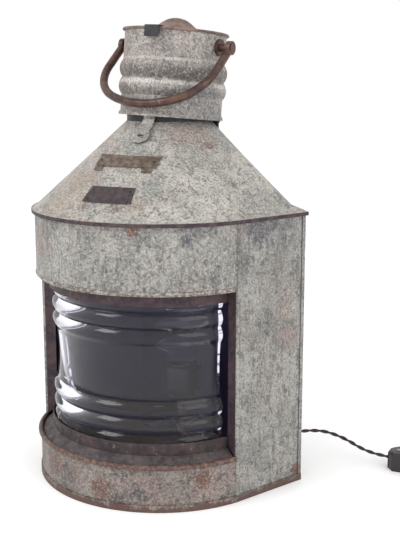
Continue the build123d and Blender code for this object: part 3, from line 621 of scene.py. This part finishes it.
hood_zinc = galvanised("hood_zinc", (0.46, 0.425, 0.395), (0.29, 0.268, 0.25), (0.080, 0.072, 0.072),
                       shade=0.93, flake=0.60, pit=0.75, smudge=0.5, warm=0.35, bands=(
    (hood_foot, hood_up, 0.044, 0.0065, (0.105, 0.085, 0.078), 0.85),
    (hood_foot, hood_up, 0.025, 0.0035, (0.14, 0.12, 0.11), 0.6),
    (hood_foot, hood_up, 0.034, 0.0022, PALE, 0.45),
    (hood_foot, hood_up, 0.057, 0.0016, PALE, 0.35)), spots=(
    (on_hood(-48.0, 0.068), 0.024, (0.30, 0.20, 0.17), 0.7),
    (on_hood(20.0, 0.074), 0.016, (0.14, 0.14, 0.14), 0.5),
    (on_hood(70.0, 0.012), 0.030, (0.12, 0.125, 0.135), 0.55)))
# The flange's two dark hem tints are partly rust and partly painted shade under the flange.
flange_zinc_and_shade = hemmed_with_painted_shade("flange_zinc_and_shade", (0.50, 0.46, 0.41), (0.20, 0.185, 0.17), (0.085, 0.052, 0.055),
                     (0.028, 0.020, 0.028))
jamb_rust = rusty("jamb_rust", (0.075, 0.042, 0.045), (0.026, 0.018, 0.026), worn=0.1)
# The window head's near-black inner colour is partly rust and partly painted shade under its bead; past the
# bead's radius the rim takes pale zinc tints.
head_rust_and_shade = rusty("head_rust_and_shade", (0.050, 0.034, 0.038), (0.022, 0.016, 0.024), worn=0.1,
                  rim=(0.1304, (0.42, 0.39, 0.35), (0.13, 0.10, 0.09)))
sill_trim = rusty("sill_trim", (0.105, 0.085, 0.082), (0.036, 0.028, 0.034), worn=0.3,
                  rim=(0.1300, (0.20, 0.115, 0.085), (0.070, 0.042, 0.040)))
cap_rust = rusty("cap_rust", (0.26, 0.165, 0.135), (0.10, 0.072, 0.068), worn=0.35)
edge_rust = rusty("edge_rust", (0.070, 0.045, 0.042), (0.030, 0.022, 0.028))
iron_brown = rusty("iron_brown", (0.125, 0.066, 0.050), (0.042, 0.025, 0.025), 0.5, 0.0003, 0.25,
                   rough=(0.28, 0.55))
steel_dark = plain_metal("steel_dark", (0.042, 0.038, 0.042), (0.014, 0.013, 0.016), 0.4, 0.4, 0.6)
zinc_plate = plain_metal("zinc_plate", (0.46, 0.46, 0.45), (0.25, 0.25, 0.25), 0.8, 0.3, 0.5)
old_brass = plain_metal("old_brass", (0.22, 0.165, 0.125), (0.085, 0.062, 0.052), 0.5, 0.4, 0.65, 200.0)
plate_dark = plain_metal("plate_dark", (0.085, 0.058, 0.060), (0.034, 0.025, 0.029), 0.4, 0.4, 0.6, 200.0)
bakelite = moulded("bakelite", (0.020, 0.014, 0.020), (0.075, 0.060, 0.072))
lens_clear = glass("lens_clear", (0.88, 0.87, 0.96), 0.02)
bulb_clear = glass("bulb_clear", (0.97, 0.97, 0.97), 0.01)
braided = braid()
twisted.data.materials.append(braided)

BY_NODE = {
    side_zinc: ["right_side_panel", "left_side_panel", "right_rear_panel", "left_rear_panel", "back_panel",
                "rear_seams", "front_seams"],
    upper_zinc: ["upper_front_band"],
    lower_zinc: ["lower_front_band", "base_tray"],
    roof_zinc: ["roof_cone"],
    flange_zinc_and_shade: ["roof_flange"],
    hood_zinc: ["hood_shell", "hood_hem", "hasp_strap", "hasp_rivets"],
    sill_trim: ["window_sill"],
    head_rust_and_shade: ["window_head"],
    jamb_rust: ["right_window_jamb", "left_window_jamb", "lens_top_ring"],
    edge_rust: ["lens_kerb"],
    cap_rust: ["hood_cap"],
    iron_brown: ["bail", "right_ear", "left_ear", "right_bail_stud", "left_bail_stud"],
    steel_dark: ["neck_collar", "cap_clip", "hinge_fixed_leaf", "hinge_hood_leaf", "hinge_pin",
                 "hood_leaf_rivets"],
    zinc_plate: ["lamp_bracket", "bracket_screws", "switch_screws", "plug_pins", "rocker_pin"],
    old_brass: ["upper_name_plate", "lamp_stem", "bulb_cap"],
    plate_dark: ["lower_name_plate", "plate_rivets"],
    bakelite: ["lamp_holder", "strain_relief", "relief_nut", "switch_body", "switch_rocker", "plug_body"],
    braided: ["inner_flex"],
    lens_clear: ["lens_glass"],
    bulb_clear: ["bulb_glass"],
}
for material, names in BY_NODE.items():
    for name in names:
        node = nodes[name]
        node.data.materials.clear()
        node.data.materials.append(material)


# ---- the ribbed lens, finely divided so that it refracts smoothly ----
def lens_profile():
    """(radius, height) corners of the lens's section: ribs, the plain belt, then the smooth inner wall."""
    valley = LENS_R - RIB_PROUD
    points = []
    upper = LENS_HIGH - RIB_COUNT * RIB_PITCH
    for first in (LENS_LOW, upper):
        for rib in range(RIB_COUNT):
            low = first + rib * RIB_PITCH
            for i in range(RIB_STEPS):
                t = i / RIB_STEPS
                points.append((valley + RIB_PROUD * (1 - (2 * t - 1) ** 2), low + RIB_PITCH * t))
        if first == LENS_LOW:
            belt_low = LENS_LOW + RIB_COUNT * RIB_PITCH
            for i in range(BELT_STEPS):
                t = i / BELT_STEPS
                points.append((valley - BELT_DIP * (1 - (2 * t - 1) ** 2), belt_low + (upper - belt_low) * t))
    points.append((valley, LENS_HIGH))
    for i in range(WALL_STEPS + 1):
        points.append((valley - LENS_WALL, LENS_HIGH + (LENS_LOW - LENS_HIGH) * i / WALL_STEPS))
    return points


def turned(name, profile, half, steps):
    """A closed section turned round the Z axis from -half to half, with its two ends closed."""
    verts, faces = [], []
    count = len(profile)
    for step in range(steps + 1):
        angle = -half + 2 * half * step / steps
        for radius, z in profile:
            verts.append((radius * math.sin(angle), -radius * math.cos(angle), z))
    for step in range(steps):
        for k in range(count):
            a = step * count + k
            b = step * count + (k + 1) % count
            faces.append((a, b, b + count, a + count))
    faces.append(tuple(reversed(range(count))))
    faces.append(tuple(steps * count + k for k in range(count)))
    return new_piece(name, verts, faces)


ribbed_lens = turned("ribbed_lens", lens_profile(), LENS_HALF, LENS_STEPS)
ribbed_lens.data.materials.append(lens_clear)
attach(ribbed_lens, "case")
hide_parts("lens_glass")
crease = ribbed_lens.modifiers.new("edges", "EDGE_SPLIT")
crease.split_angle = LENS_CREASE


# ---- floor and soft studio light ----
FLOOR_HALF = 6
FLOOR_GAP = 0.0002          # just under the feet, so that the two faces do not share a plane


def make_stage():
    edges = [(-FLOOR_HALF, -FLOOR_HALF, 0), (FLOOR_HALF, -FLOOR_HALF, 0), (FLOOR_HALF, FLOOR_HALF, 0),
             (-FLOOR_HALF, FLOOR_HALF, 0)]
    floor = new_piece("floor", edges, [(0, 1, 2, 3)], smooth=False)
    white = bpy.data.materials.new("floor_white")
    white.use_nodes = True
    inputs = white.node_tree.nodes["Principled BSDF"].inputs
    inputs["Base Color"].default_value = (0.95, 0.95, 0.95, 1.0)
    inputs["Roughness"].default_value = 1.0
    inputs["Emission Color"].default_value = (1.0, 1.0, 1.0, 1.0)
    inputs["Emission Strength"].default_value = 0.10
    floor.data.materials.append(white)
    floor.location.z = -FLOOR_GAP
    world = bpy.data.worlds.new("studio")
    world.use_nodes = True
    inputs = world.node_tree.nodes["Background"].inputs
    inputs["Color"].default_value = (1.0, 1.0, 1.0, 1.0)
    inputs["Strength"].default_value = 1.0
    bpy.context.scene.world = world


def area_light(name, place, aim, size, power):
    """A soft light at a place, aimed at a point."""
    data = bpy.data.lights.new(name, "AREA")
    data.shape = "RECTANGLE"
    data.size, data.size_y = size
    data.energy = power
    light = bpy.data.objects.new(name, data)
    bpy.context.scene.collection.objects.link(light)
    light.location = place
    light.rotation_mode = "QUATERNION"
    light.rotation_quaternion = (Vector(aim) - Vector(place)).to_track_quat("-Z", "Y")


make_stage()
lamp_aim = (0, 0, 0.22)
area_light("key", (-0.9, -1.5, 1.5), lamp_aim, (0.8, 0.8), 14.0)
area_light("fill", (1.6, -0.7, 1.0), lamp_aim, (0.9, 1.2), 8.0)
bpy.context.scene.view_settings.view_transform = "Standard"
